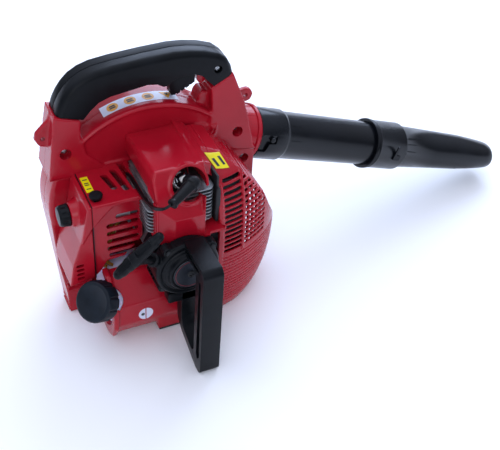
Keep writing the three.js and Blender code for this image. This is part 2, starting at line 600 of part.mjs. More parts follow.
function fuelCap() {
  const flutes = Array.from({ length: 12 }, (_, i) => {
    const angle = (i * Math.PI) / 6;
    return drum(2, -14, 14, 27.5 * Math.cos(angle), 27.5 * Math.sin(angle), 8);
  });
  const head = cut(drum(26.5, -8, 12, 0, 0, 36), drum(18.6, -13, 3, 0, 0, 20), ...flutes);
  const cap = add("fuel_cap", head, plastic("#22282e", 0.55));
  cap.quaternion.setFromUnitVectors(UP, CAP_AXIS);
  cap.position.copy(CAP_AT);
}

// Air side: guard over the fan's eye
function intakeGuard() {
  const base = new THREE.Vector3(0, CASE_FRONT + GAP, CRANK_Z);
  const placed = (geometry) => solid(geometry.translate(base.x, base.y, base.z));
  const outer = turned([[0, 30], [30, 29], [58, 24], [72, 12], [76, 0], [0, 0]], 22);
  const inner = turned([[0, 27], [30, 26], [56, 21.5], [67, 11], [69, -5], [0, -5]], 22);
  const slots = [];
  for (const [radius, count, length] of [[24, 6, 18], [47, 12, 16]]) {
    for (let i = 0; i < count; i++) {
      const slot = new THREE.BoxGeometry(length, 60, 4.6);
      slot.translate(radius, 20, 0);
      slot.rotateY((2 * Math.PI * i) / count);
      slots.push(placed(slot));
    }
  }
  const ductRoom = bar(TUBE.r + 5, alongTube(-110), alongTube(0), 24);
  add("intake_guard", cut(placed(outer), placed(inner), ...slots, ductRoom), plastic(BLACK, 0.45));
}

// Blower tubes: twist-lock outlet ring, tube and nozzle on one sloping axis
const slope = new THREE.Group();
slope.position.set(TUBE.x, TUBE.y, TUBE.z);
slope.rotation.y = THREE.MathUtils.degToRad(TUBE.slope);
const tubes = new THREE.Group(); // its +Y runs down the tube, its +X points to the engine side
tubes.rotation.z = -Math.PI / 2;
slope.add(tubes);
machine.add(slope);

// Flattens the far end of a tube from top to bottom, which is along the tube frame's Z.
function flatten(geometry, from, to, keep) {
  const place = geometry.attributes.position;
  for (let i = 0; i < place.count; i++) {
    const share = THREE.MathUtils.clamp((place.getY(i) - from) / (to - from), 0, 1);
    place.setZ(i, place.getZ(i) * (1 - share * (1 - keep)));
  }
  return geometry;
}

function blowerTubes() {
  const { r, wall } = TUBE;
  const ring = turnedRing([[r - 2, 4], [39, 4], [39, 9], [35, 12], [r - 2, 12]], 32);
  add("outlet_ring", ring, plastic(RED, 0.25), tubes);
  const tube = turnedRing([
    [r - wall, 13], [35.5, 13], [35.5, 55], [r + 1, 58], [r, 61], [r - 1.5, 246], [r - 1.5 - wall, 246],
    [r - wall, 70],
  ], 32);
  const bayonetSlot = new THREE.BoxGeometry(6, 9, 20).translate(34.5, 17, 6);
  add("blower_tube", cut(solid(tube), solid(bayonetSlot)), plastic(BLACK, 0.4), tubes);
  const lip = r + 2.5;
  const nozzle = flatten(turnedRing([
    [r - 0.5, 214], [lip + 1.5, 214], [lip + 1.5, 219], [lip, 222], [lip, 272], [r - 1.8, 276], [27.5, 400],
    [26.5, 430], [25, 455], [23, 470], [20.6, 470], [22.6, 455], [24.1, 430], [25.1, 400], [r - 4.2, 278],
    [r - 4.2, 248], [r - 0.5, 247],
  ], 24), 395, 470, 0.82);
  add("nozzle", nozzle, plastic(BLACK, 0.4), tubes);
}

// Pan-head screws that show in the case, the grip and the intake guard
function screws() {
  const steel = () => metal("#9da1a5", 0.35);
  const places = [
    ["case_screw_rear", CASE_SCREWS[0], CASE_BACK + 10],
    ["case_screw_front", CASE_SCREWS[1], CASE_BACK + 10],
    ["case_screw_low", CASE_SCREWS[2], CASE_BACK + 10],
    ["grip_screw", [92, 162], SPLIT - GRIP_HALF + 6],
  ];
  for (const [name, [x, z], seat] of places) {
    const head = turned([[0, 0], [3.4, 0], [3, 2], [0, 3]], 14);
    const screw = add(name, head, steel());
    screw.rotation.x = Math.PI;
    screw.position.set(x, seat - GAP, z);
  }
}

const upperAndLower = caseBody();
fanCase(upperAndLower);
handleHousing(upperAndLower);
grip();
controls();
rotatingParts();
engine();
ignition();
intakeSide();
cylinderCover();
exhaustSide();
starter();
loopHandle();
fuelSide();
intakeGuard();
blowerTubes();
screws();

const blower = new THREE.Group();
blower.add(machine);
export default blower;
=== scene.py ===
import math

import bmesh
import bpy
from mathutils import Matrix, Vector


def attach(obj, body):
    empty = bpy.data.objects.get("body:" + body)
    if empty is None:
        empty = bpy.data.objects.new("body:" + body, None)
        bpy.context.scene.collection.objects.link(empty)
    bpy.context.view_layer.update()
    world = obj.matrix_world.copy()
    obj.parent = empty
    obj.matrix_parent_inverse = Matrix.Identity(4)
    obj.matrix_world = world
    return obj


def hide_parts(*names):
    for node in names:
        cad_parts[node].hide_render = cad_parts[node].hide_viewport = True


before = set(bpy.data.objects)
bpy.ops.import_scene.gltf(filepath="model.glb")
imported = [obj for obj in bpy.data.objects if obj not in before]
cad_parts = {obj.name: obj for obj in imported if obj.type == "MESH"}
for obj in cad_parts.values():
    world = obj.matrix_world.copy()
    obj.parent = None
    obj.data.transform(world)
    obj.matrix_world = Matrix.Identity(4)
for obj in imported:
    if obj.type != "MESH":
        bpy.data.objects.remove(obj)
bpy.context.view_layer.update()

# Studio: a white floor, a broad softbox overhead, a strong cool one on the far side that draws the long highlights,
# and a weak one at the engine side. The air is dim near the floor and bright above, so that side faces stay deep.
# The camera looks down on the engine side from behind the handle.
scene = bpy.context.scene
scene.view_settings.view_transform = "Standard"


def linear(code):
    """An sRGB hex colour as linear red, green, blue and alpha."""
    shares = [int(code[i:i + 2], 16) / 255 for i in (1, 3, 5)]
    return tuple(s / 12.92 if s <= 0.04045 else ((s + 0.055) / 1.055) ** 2.4 for s in shares) + (1.0,)


def add_node(tree, kind, settings=None, links=None):
    """A node with its settings, then its inputs linked. A key that is no input is the node's own setting."""
    node = tree.nodes.new(kind)
    for key, value in (settings or {}).items():
        if isinstance(key, int) or key in node.inputs:
            node.inputs[key].default_value = value
        else:
            setattr(node, key, value)
    for key, source in (links or {}).items():
        tree.links.new(source, node.inputs[key])
    return node


def softbox(name, place, aim, width, power, colour):
    light = bpy.data.lights.new(name, "AREA")
    light.size = width
    light.energy = power
    light.color = linear(colour)[:3]
    lamp = bpy.data.objects.new(name, light)
    back = Vector(place) - Vector(aim)  # a lamp shines down its own -Z
    lamp.matrix_world = Matrix.Translation(place) @ back.to_track_quat("Z", "Y").to_matrix().to_4x4()
    scene.collection.objects.link(lamp)


softbox("overhead_softbox", (-0.35, 0.35, 1.7), (-0.1, 0, 0.15), 1.7, 7, "#e4ebff")
softbox("far_side_softbox", (0.9, 1.5, 1.3), (0, 0, 0.15), 1.8, 46, "#cfe0ff")
softbox("engine_side_softbox", (-1.1, -1.5, 0.9), (-0.15, 0, 0.12), 1.0, 6, "#f4f6ff")
world = bpy.data.worlds.new("studio_air")
world.use_nodes = True
air = world.node_tree.nodes["Background"]
air.inputs["Color"].default_value = linear("#e2eaff")
sky = world.node_tree
look = add_node(sky, "ShaderNodeTexCoord").outputs["Generated"]
way_up = add_node(sky, "ShaderNodeSeparateXYZ", links={"Vector": look})
glow = add_node(sky, "ShaderNodeMapRange", {"From Min": 0.08, "From Max": 0.5, "To Min": 0.18, "To Max": 1.05},
                {"Value": way_up.outputs["Z"]})
sky.links.new(glow.outputs["Result"], air.inputs["Strength"])
scene.world = world

lens = bpy.data.cameras.new("camera")
lens.lens = 66.96
lens.clip_end = 20
camera = bpy.data.objects.new("camera", lens)
heading, dip, roll = math.radians(-27.8), math.radians(41.2), math.radians(4.7)
camera.matrix_world = (Matrix.Translation((-0.5435, -0.8279, 0.9221)) @ Matrix.Rotation(heading, 4, "Z")
                       @ Matrix.Rotation(math.pi / 2 - dip, 4, "X") @ Matrix.Rotation(roll, 4, "Z"))
scene.collection.objects.link(camera)
scene.camera = camera

paper = bpy.data.materials.new("matt_backdrop_paper")
paper.use_nodes = True
backdrop = paper.node_tree.nodes["Principled BSDF"]
backdrop.inputs["Base Color"].default_value = linear("#fdfdfd")
backdrop.inputs["Roughness"].default_value = 0.9
backdrop.inputs["Specular IOR Level"].default_value = 0.1
floor_shape = bmesh.new()
bmesh.ops.create_grid(floor_shape, x_segments=1, y_segments=1, size=6)
floor_mesh = bpy.data.meshes.new("floor")
floor_shape.to_mesh(floor_mesh)
floor_mesh.materials.append(paper)
floor = bpy.data.objects.new("floor", floor_mesh)
scene.collection.objects.link(floor)


def finish(name, shades, patch, grain, depth, rough, metallic=0.0, **fixed):
    """A material that drifts between two shades over patches, with a fine grain in its skin; sizes in millimetres."""
    material = bpy.data.materials.new(name)
    material.use_nodes = True
    tree = material.node_tree
    shader = tree.nodes["Principled BSDF"]
    shader.inputs["Metallic"].default_value = metallic
    for key, value in fixed.items():
        shader.inputs[key.replace("_", " ")].default_value = value
    place = add_node(tree, "ShaderNodeTexCoord").outputs["Object"]
    drift = add_node(tree, "ShaderNodeTexNoise", {"Scale": 1000 / patch, "Detail": 4.0}, {"Vector": place})
    half_way = {"From Min": 0.35, "From Max": 0.65}
    spread = add_node(tree, "ShaderNodeMapRange", half_way, {"Value": drift.outputs["Fac"]})
    blend = add_node(tree, "ShaderNodeMix", {"data_type": "RGBA", 6: linear(shades[0]), 7: linear(shades[1])},
                     {0: spread.outputs["Result"]})
    tree.links.new(blend.outputs[2], shader.inputs["Base Color"])
    skin = add_node(tree, "ShaderNodeTexNoise", {"Scale": 1000 / grain, "Detail": 2.0}, {"Vector": place})
    rough_range = {"From Min": 0.3, "From Max": 0.7, "To Min": rough[0], "To Max": rough[1]}
    sheen = add_node(tree, "ShaderNodeMapRange", rough_range, {"Value": drift.outputs["Fac"]})
    tree.links.new(sheen.outputs["Result"], shader.inputs["Roughness"])
    relief = {"Strength": 1.0, "Distance": depth / 1000}
    bump = add_node(tree, "ShaderNodeBump", relief, {"Height": skin.outputs["Fac"]})
    tree.links.new(bump.outputs["Normal"], shader.inputs["Normal"])
    return material


# Engine inside: cast crankcase, steel crankshaft in its bearings, piston, flywheel and fan nut.
# Die-cast aluminium has a dull, slightly mottled skin; turned steel is brighter and finely brushed.
die_cast = finish("die_cast_aluminium", ("#8b8f92", "#a3a6a8"), 14, 0.9, 0.06, (0.42, 0.6), 1.0)
ground_steel = finish("ground_steel", ("#9ea2a6", "#b9bcbf"), 6, 0.5, 0.01, (0.22, 0.34), 1.0)
bearing_steel = finish("polished_bearing_steel", ("#c2c5c8", "#cfd2d4"), 8, 0.6, 0.004, (0.14, 0.22), 1.0)


def dress(material, *nodes):
    """Gives CAD nodes a finish of their own."""
    for node in nodes:
        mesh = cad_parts[node].data
        mesh.materials.clear()
        mesh.materials.append(material)


dress(die_cast, "crankcase", "flywheel", "piston", "carburettor")
dress(ground_steel, "crankshaft", "fan_nut")
dress(bearing_steel, "main_bearing_fan_side", "main_bearing_starter_side")

# Fan, coil, manifold, filter and throttle arm: moulded nylon, phenolic block, open-cell foam and plated brass.
# They only show through slots, so their own solids stand with a finish each.
nylon = finish("glass_filled_nylon", ("#15181d", "#1c2026"), 20, 0.7, 0.03, (0.36, 0.5), IOR=1.53)
phenolic = finish("phenolic_insulator", ("#1d1f22", "#272a2e"), 9, 1.1, 0.05, (0.55, 0.7))
foam = finish("open_cell_filter_foam", ("#3c4043", "#54585b"), 3, 1.6, 0.9, (0.9, 1.0))
plated_brass = finish("plated_brass", ("#b79b4c", "#c9b065"), 5, 0.6, 0.01, (0.25, 0.4), 1.0)
dress(nylon, "fan_impeller")
dress(phenolic, "ignition_coil", "intake_manifold")
dress(foam, "air_filter_element")
dress(plated_brass, "throttle_arm")

# Drawing tools. Shapes are bmesh solids in millimetres about the fan case's centre: x towards the nozzle,
# y to the intake side, z up.
MACHINE = Vector((-0.2275, 0.1065, 0.152))
SPLIT = -26  # y where the two halves of the case and the grip meet
CRANK_Z = -18


def prism(outline, low, high, along="Y", corner=0.0):
    """A solid with this outline across X, Y or Z, its corners rounded within the outline."""
    shape = bmesh.new()
    spot = {"X": lambda a, b: (low, a, b), "Y": lambda a, b: (a, low, b), "Z": lambda a, b: (a, b, low)}[along]
    shape.faces.new([shape.verts.new(spot(*point)) for point in outline])
    if corner:
        bmesh.ops.bevel(shape, geom=shape.verts[:], offset=corner, segments=4, profile=0.5, affect="VERTICES",
                        clamp_overlap=True, material=-1)
    raised = bmesh.ops.extrude_face_region(shape, geom=shape.faces[:])["geom"]
    lift = Vector((along == "X", along == "Y", along == "Z")) * (high - low)
    bmesh.ops.translate(shape, verts=[v for v in raised if isinstance(v, bmesh.types.BMVert)], vec=lift)
    bmesh.ops.recalc_face_normals(shape, faces=shape.faces[:])
    return shape


def block(x0, x1, y0, y1, z0, z1, corner=0.0):
    return prism([(x0, z0), (x1, z0), (x1, z1), (x0, z1)], y0, y1, corner=corner)


def rod(start, end, r, r_end=None, sides=40):
    """A round bar, or a cone, from one point to another."""
    start, end = Vector(start), Vector(end)
    way = end - start
    shape = bmesh.new()
    place = Matrix.Translation((start + end) / 2) @ way.to_track_quat("Z", "Y").to_matrix().to_4x4()
    bmesh.ops.create_cone(shape, cap_ends=True, segments=sides, radius1=r, radius2=r if r_end is None else r_end,
                          depth=way.length, matrix=place)
    return shape


def on_crank(y0, y1, r, sides=40):
    """A round bar on the engine's axis, which is also the starter's."""
    return rod((0, y0, CRANK_Z), (0, y1, CRANK_Z), r, sides=sides)


def sphere(at, r, around=32, rings=20):
    shape = bmesh.new()
    bmesh.ops.create_uvsphere(shape, u_segments=around, v_segments=rings, radius=r, matrix=Matrix.Translation(at))
    return shape


def turned(profile, start=(0, 0, 0), along=(0, 1, 0), steps=64):
    """A profile of (radius, distance) points spun about an axis."""
    shape = bmesh.new()
    points = [shape.verts.new((r, 0, h)) for r, h in profile]
    edges = [shape.edges.new(pair) for pair in zip(points, points[1:])]
    if min(r for r, h in profile) > 0:  # a profile off the axis closes on itself, as a ring's does
        edges.append(shape.edges.new((points[-1], points[0])))
    bmesh.ops.spin(shape, geom=points + edges, cent=(0, 0, 0), axis=(0, 0, 1), angle=2 * math.pi, steps=steps,
                   use_merge=True)
    bmesh.ops.remove_doubles(shape, verts=shape.verts[:], dist=1e-4)
    bmesh.ops.recalc_face_normals(shape, faces=shape.faces[:])
    turn = Vector(along).to_track_quat("Z", "Y").to_matrix().to_4x4()
    bmesh.ops.transform(shape, matrix=Matrix.Translation(start) @ turn, verts=shape.verts[:])
    return shape


def worked(shape, *steps):
    """The shape after a row of modifiers. Any shape among the settings is a tool, and is used up too."""
    bench = []

    def set_down(solid):
        mesh = bpy.data.meshes.new("blank")
        solid.to_mesh(mesh)
        solid.free()
        bench.append(bpy.data.objects.new("blank", mesh))
        scene.collection.objects.link(bench[-1])
        return bench[-1]

    blank = set_down(shape)
    for kind, settings in steps:
        step = blank.modifiers.new(kind, kind)
        for key, value in settings.items():
            setattr(step, key, set_down(value) if isinstance(value, bmesh.types.BMesh) else value)
    result = bmesh.new()
    result.from_object(blank, bpy.context.evaluated_depsgraph_get())
    for done in bench:
        mesh = done.data
        bpy.data.objects.remove(done)
        bpy.data.meshes.remove(mesh)
    return result


def with_tools(operation, shape, tools):
    return worked(shape, *[("BOOLEAN", {"operation": operation, "solver": "MANIFOLD", "object": t}) for t in tools])


def fused(shape, *others):
    return with_tools("UNION", shape, others)


def carved(shape, *tools):
    return with_tools("DIFFERENCE", shape, tools)


def kept(shape, *tools):
    return with_tools("INTERSECT", shape, tools)


def gathered(*shapes):
    """Several shapes as one, left overlapping."""
    whole = bmesh.new()
    for shape in shapes:
        mesh = bpy.data.meshes.new("loose")
        shape.to_mesh(mesh)
        shape.free()
        whole.from_mesh(mesh)
        bpy.data.meshes.remove(mesh)
    return whole


def moulded(shape, voxel=1.2, softening=6):
    """One fused skin, with the small radii and fillets of a moulding tool."""
    return worked(shape, ("REMESH", {"mode": "VOXEL", "voxel_size": voxel}),
                  ("SMOOTH", {"factor": 0.5, "iterations": softening}))


def eased(shape, width, segments=2, sharp=30):
    """The shape with its sharp edges rounded."""
    bmesh.ops.dissolve_limit(shape, angle_limit=math.radians(1.5), verts=shape.verts[:], edges=shape.edges[:])
    edges = [e for e in shape.edges if len(e.link_faces) == 2 and e.calc_face_angle() > math.radians(sharp)]
    bmesh.ops.bevel(shape, geom=edges, offset=width, segments=segments, profile=0.5, affect="EDGES",
                    clamp_overlap=True, material=-1)
    return shape


def piece(name, shape, material, body="machine", stands_for=(), sharp=38):
    """The finished object, in metres in the CAD's frame, riding on its body."""
    bmesh.ops.transform(shape, matrix=Matrix.Translation(MACHINE) @ Matrix.Scale(0.001, 4), verts=shape.verts[:])
    mesh = bpy.data.meshes.new(name)
    shape.to_mesh(mesh)
    shape.free()
    mesh.materials.append(material)
    mesh.shade_smooth()
    mesh.set_sharp_from_angle(angle=math.radians(sharp))
    made = bpy.data.objects.new(name, mesh)
    scene.collection.objects.link(made)
    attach(made, body)
    if stands_for:
        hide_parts(*stands_for)
    return made


def recast(node):
    """A CAD node's solid, joined up and in the drawing's millimetres."""
    shape = bmesh.new()
    shape.from_mesh(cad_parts[node].data)
    bmesh.ops.transform(shape, matrix=Matrix.Scale(1000, 4) @ Matrix.Translation(-MACHINE), verts=shape.verts[:])
    bmesh.ops.remove_doubles(shape, verts=shape.verts[:], dist=0.003)
    return shape


# Cylinder: cast barrel with a stack of thin cooling fins that show in the side window.
# The fins are square plates with rounded corners, with room cut for the plug lead.
fins = [block(-38, 48, -149, -63, 20 + i * 5.2, 21.8 + i * 5.2) for i in range(10)]
for fin in fins:
    upright = [e for e in fin.edges if abs(e.verts[0].co.z - e.verts[1].co.z) > 1]
    bmesh.ops.bevel(fin, geom=upright, offset=9, segments=5, profile=0.5, affect="EDGES", material=-1)
barrel = rod((0, -101, 16), (0, -101, 78), 25)
plug_axis = Vector((0.12, -0.8, 0.59)).normalized()
plug_seat = Vector((2, -112, 64))
exhaust_port, intake_port = rod((20, -101, 48), (49.7, -101, 48), 12), rod((-20, -101, 42), (-39.7, -101, 42), 11)
stack = worked(gathered(*fins, barrel, exhaust_port, intake_port), ("REMESH", {"mode": "VOXEL", "voxel_size": 0.9}))
stack = carved(stack, rod((0, -101, 10), (0, -101, 68), 17.3), block(-50, -32.5, -160, -50, 54, 90),
               rod(plug_seat - plug_axis * 5, plug_seat + plug_axis * 50, 15))
piece("cylinder_fins", stack, die_cast, stands_for=["cylinder"])

# Fan case and handle housing: one glossy red ABS body moulded as four shells, a pair below the seam and a pair above.
# The upper pair rises in two posts that carry the grip; a skirt runs down behind to the foot it stands on.
gloss_abs = finish("gloss_red_abs", ("#a00d1f", "#ac1224"), 60, 2.4, 0.012, (0.16, 0.24), Specular_IOR_Level=0.32)

tube_slope = math.radians(19.3)
tube_start = Vector((145, -11, 34.5))
down = Vector((math.cos(tube_slope), 0, -math.sin(tube_slope)))

drum = turned([(0, -50), (127.5, -50), (130.4, -49.2), (132, -46.5), (132, -26.9), (131.2, -26), (132, -25.1),
               (132, -3.5), (130.4, -0.8), (127.5, 0), (0, 0)], steps=128)
recess = kept(rod((0, -60, 0), (0, -47.2, 0), 127, sides=96), block(-96, 90, -70, -40, 60, 140))
flange = prism([(60, 90), (118, 74), (138, 66), (147, 33), (148, -32), (128, -60), (60, -60)], -50, 0)
duct = rod(tube_start - down * 95, tube_start + down * 7.5, 37)
foot = block(-86, 104, -50, -4, -152, -118, corner=4)
skirt = kept(prism([(-131, -20), (-123.5, -152), (-90, -152), (-90, -100), (-100, -20)], -80, 0),
             prism([(0, -10), (-48, -152), (-78, -152), (-78, -112), (-50, -84), (-50, -10)], -140, 140, "X"))
rear_post = prism([(-116, 138.6), (-84, 128), (-85, 107), (-80, 80), (-55, 55), (-48, 52), (-129, 52)], -54, 0)
front_post = prism([(83, 137), (113, 153), (130, 108), (145, 38), (149, 33), (64, 50), (72, 72), (81, 90), (84, 108)],
                   -54, 0)
lean = prism([(-52.6, 20), (0, 20), (0, 60), (-8, 150), (-8, 160), (-45, 160), (-46, 140), (-52.6, 60)], -160, 160, "X")
posts = kept(gathered(rear_post, front_post), lean)
lips = [kept(turned([(r, -54.5), (r + 2, -54.5), (r + 2, -42), (r, -42)], start=(56, 0, 84)),
             block(57, 92, -60, -40, 48, 85)) for r in (27, 32)]
tab = prism([(69, 98), (69, 120), (75, 129), (84, 127), (93, 104), (90, 86)], -36, -14, corner=3)
lugs = [rod((x, -34, z), (x, -26.3, z), 10) for x, z in [(-126, 102), (137, 108)]]
webs = [prism([(-116, 138), (-122, 126), (-136, 112), (-138, 104), (-132, 94), (-112, 88)], -34, -26.3),
        block(118, 137, -34, -26.3, 98, 117)]
body = gathered(carved(drum, recess), flange, duct, foot, skirt, posts, *lips, tab, *lugs, *webs)
body = moulded(body, voxel=1.3, softening=7)

hollow = gathered(rod((0, -45.4, 0), (0, -4, 0), 128, sides=64), on_crank(-70, -40, 30))
air_way = fused(hollow, rod(tube_start - down * 80, tube_start + down * 30, 29.6), on_crank(-5, 5, 60))
screw_wells = gathered(*[rod((x, -60, z), (x, -40, z), 7.3) for x, z in [(-106, 87), (120, 67), (132, 20)]],
                       *[rod((x, -50, z), (x, -10, z), 3) for x, z in [(-128, 104), (137, 108)]])
body = carved(body, air_way, screw_wells)


def side(low, high):
    """Everything between two depths, to take one half of the body."""
    return block(-200, 200, low, high, -200, 250)


def above_seam(gap):
    """Everything above the seam between the case and the handle housing, raised by the gap."""
    seam_line = [(x, z + gap) for x, z in [(-200, 55), (-135, 55), (70, 53), (150, 33), (220, 33)]]
    return prism(seam_line + [(220, 260), (-200, 260)], -200, 60)


for half, low, high in [("engine_side", -90, SPLIT - 0.25), ("intake_side", SPLIT + 0.25, 60)]:
    shell = kept(body.copy(), side(low, high))
    housing, case = "handle_housing_" + half, "fan_case_" + half
    piece(housing + "_shell", kept(shell.copy(), above_seam(0.25)), gloss_abs, stands_for=[housing])
    piece(case + "_shell", carved(shell, above_seam(-0.25)), gloss_abs, stands_for=[case])
body.free()

# Eleven small ribs climb the skirt's rear face, 7 mm apart.
ribs = gathered(*[block(-125.2 + i * 0.15, -122.6 + i * 0.15, -77.5, -50 + i * 0.4, -148 + i * 7, -145.4 + i * 7,
                        corner=0.8) for i in range(11)])
piece("skirt_grip_ribs", moulded(ribs, 0.6, 2), gloss_abs)

# Case and grip screws: zinc-plated pan heads with a cross recess, set down in their wells.
zinc = finish("zinc_plated_steel", ("#a9adb1", "#bfc3c6"), 4, 0.5, 0.01, (0.25, 0.38), 1.0)
for name, (x, z), seat in [("case_screw_rear", (-106, 87), -40), ("case_screw_front", (120, 67), -40),
                           ("case_screw_low", (132, 20), -40), ("grip_screw", (92, 162), -39)]:
    head = turned([(0, 0), (4.6, 0), (4.6, 1), (3.9, 2.4), (2.4, 3.2), (0, 3.5)], start=(x, seat, z),
                  along=(0, -1, 0), steps=24)
    cross = gathered(block(x - 2.6, x + 2.6, seat - 5, seat - 1.8, z - 0.5, z + 0.5),
                     block(x - 0.5, x + 0.5, seat - 5, seat - 1.8, z - 2.6, z + 2.6))
    piece(name + "_head", carved(head, cross), zinc, stands_for=[name])

# Grip: two halves of black glass-filled nylon screwed together round the tops of the posts, satin with a fine grain.
# The seam between them runs along the crown as a narrow groove.
grip_nylon = finish("satin_black_nylon", ("#080a0d", "#0d1014"), 25, 0.9, 0.03, (0.3, 0.42), Specular_IOR_Level=0.14)
crown = [(-112, 138), (-109, 147), (-104, 157), (-97, 167), (-88, 176), (-76, 183), (-62, 187.5), (-38, 190.5),
         (0, 193), (36, 194.2), (56, 192.5), (76, 188.5), (94, 182), (105, 173), (111, 162), (113.4, 152.6)]
under = [(87, 139.3), (80, 147), (71, 157), (60, 161.5), (40, 161), (32, 157), (27, 152.6), (21, 152), (13, 157),
         (0, 159), (-24, 155.6), (-46, 152.6), (-60, 147.5), (-71, 138), (-80, 127.6)]


def rounded_off(shape, edges, width, segments):
    bmesh.ops.bevel(shape, geom=edges, offset=width, segments=segments, profile=0.5, affect="EDGES",
                    clamp_overlap=True, material=-1)


def edges_at(shape, depth):
    return [e for e in shape.edges if all(abs(v.co.y - depth) < 0.01 for v in e.verts)]


for half, edge, inner in [("engine_side", SPLIT - 19, SPLIT - 0.2), ("intake_side", SPLIT + 19, SPLIT + 0.2)]:
    shell = prism(crown + under, min(edge, inner), max(edge, inner))
    on_crown = {(round(x, 1), round(z, 1)) for x, z in crown}
    top = [e for e in edges_at(shell, edge) if all((round(v.co.x, 1), round(v.co.z, 1)) in on_crown for v in e.verts)]
    rounded_off(shell, top, 8, 6)
    rest = [e for e in edges_at(shell, edge) if len(e.link_faces) == 2 and e.calc_face_angle() > 1.2]
    rounded_off(shell, rest, 3.5, 4)
    rounded_off(shell, edges_at(shell, inner), 0.9, 2)
    rooms = [block(30, 68.6, SPLIT - 8.5, SPLIT + 8.5, 120, 182), block(69.4, 82, SPLIT - 7, SPLIT + 7, 120, 166)]
    if half == "engine_side":
        rooms.append(rod((92, -60, 162), (92, -39, 162), 5.4))
    piece("grip_" + half + "_half", carved(shell, *rooms), grip_nylon, stands_for=["grip_" + half])

# Trigger and stop switch: a black nylon lever with finger notches, and a red push button ahead of it.
lever = eased(recast("throttle_trigger"), 1.0, 3)
piece("trigger_lever", lever, grip_nylon, body="trigger", stands_for=["throttle_trigger"])
button = eased(recast("stop_switch"), 0.9, 3)
piece("stop_button_cap", button, gloss_abs, body="stop_button", stands_for=["stop_switch"])

# Safety strip: a pale vinyl strip bent over the drum, printed with plain amber rounds and no wording.
vinyl_white = finish("printed_vinyl_white", ("#dcdcf0", "#e6e6f6"), 30, 1.2, 0.004, (0.3, 0.4))
vinyl_amber = finish("printed_vinyl_amber", ("#e8a03a", "#eda944"), 30, 1.2, 0.004, (0.35, 0.45))
vinyl_dark = finish("printed_vinyl_dark", ("#22242a", "#2b2d33"), 30, 1.2, 0.004, (0.35, 0.45))


def on_drum(shape, radius=132.1):
    """Bends a flat shape drawn at z = 0 round the drum: its x becomes length along the rim."""
    for v in shape.verts:
        turn = v.co.x / radius
        v.co = Vector(((radius + v.co.z) * math.sin(turn), v.co.y, (radius + v.co.z) * math.cos(turn)))
    return shape


def flat_patch(outline, thickness, cut=3.0):
    """A thin sheet with an outline in x and y, cut into short lengths so that it bends."""
    sheet = prism(outline, 0, thickness, "Z")
    for i in range(-24, 25):
        bmesh.ops.bisect_plane(sheet, geom=sheet.verts[:] + sheet.edges[:] + sheet.faces[:],
                               plane_co=(i * cut, 0, 0), plane_no=(1, 0, 0))
    return sheet


def ring_points(cx, cy, r, count=28):
    turns = [2 * math.pi * i / count for i in range(count)]
    return [(cx + r * math.cos(a), cy + r * math.sin(a)) for a in turns]


strip = on_drum(flat_patch([(-55, -38.4), (44, -38.4), (44, -19.5), (-55, -19.5)], 0.3))
piece("safety_strip", strip, vinyl_white)
rounds = [on_drum(flat_patch(ring_points(x, -29, 7.4), 0.5)) for x in (-40, -17, 6)]
rounds.append(on_drum(flat_patch([(22, -22.6), (39, -22.6), (30.5, -36)], 0.5)))
piece("safety_rounds", gathered(*rounds), vinyl_amber)
marks = [on_drum(flat_patch([(x - 4.4, y), (x + 4.4, y), (x + 3.2, y + 2.4), (x - 3.2, y + 2.4)], 0.7))
         for x in (-40, -17, 6) for y in (-32, -28.4)]
marks.append(on_drum(flat_patch(ring_points(30.5, -26.5, 2.2, 16), 0.7)))
piece("safety_marks", gathered(*marks), vinyl_dark)

# Spark plug and its rubber boot: the boot's elbow sits on the plug in the round opening of the cylinder cover,
# and its tapered arm leads to the cable. The plug's terminal spring shows beside it.
epdm = finish("epdm_rubber", ("#08090c", "#0d0f13"), 8, 0.8, 0.03, (0.28, 0.42), Specular_IOR_Level=0.2)
glazed = finish("glazed_ceramic", ("#e6e2da", "#efece5"), 10, 1.5, 0.003, (0.1, 0.16))
dress(glazed, "spark_plug")
dress(epdm, "ignition_lead")
plug_foot = plug_seat + plug_axis * 14.3
elbow = Vector((14, -158, 91))
arm_end = Vector((-19, -178, 84.5))
arm = (arm_end - elbow).normalized()
side_way = arm.cross(Vector((0, 0, 1))).normalized()
boot_body = [rod(plug_foot + plug_axis * 20, elbow, 9), rod(elbow, arm_end, 8.6, 5.2),
             rod(elbow - arm * 1.5, elbow + arm * 5, 9.8), rod(arm_end - arm * 3, arm_end + arm * 0.5, 6.6),
             rod(elbow + plug_axis * 2, elbow + plug_axis * 7.5, 8.2, 7)]
rails = [rod(elbow + side_way * 7.6 * s + Vector((0, 0, 2)), arm_end + side_way * 5 * s + Vector((0, 0, 1)),
             1.5, 1.1, 12) for s in (-1, 1)]
plug_room = rod(plug_foot + plug_axis * 16, plug_foot + plug_axis * 34.6, 6)
boot = carved(moulded(gathered(*boot_body, sphere(elbow, 9.8), *rails), 0.7, 4), plug_room)
piece("plug_boot", boot, epdm, stands_for=["spark_plug_boot"])

# The spring: 1.6 mm wire wound four and a half times to 13 mm across and 16 mm long.
coil = bmesh.new()
bmesh.ops.create_circle(coil, segments=10, radius=0.8,
                        matrix=Matrix.Translation((6.5, 0, 0)) @ Matrix.Rotation(math.pi / 2, 4, "X"))
coil_steps = 100
bmesh.ops.spin(coil, geom=coil.verts[:] + coil.edges[:], cent=(0, 0, 0), axis=(0, 0, 1),
               dvec=(0, 0, 16 / coil_steps), angle=math.pi * 9, steps=coil_steps)
bmesh.ops.holes_fill(coil, edges=coil.edges[:])
bmesh.ops.recalc_face_normals(coil, faces=coil.faces[:])
coil_way = Vector((0.85, -0.3, 0.4)).to_track_quat("Z", "Y").to_matrix().to_4x4()
bmesh.ops.transform(coil, matrix=Matrix.Translation((-1.5, -139, 83)) @ coil_way, verts=coil.verts[:])
piece("terminal_spring", coil, bearing_steel)

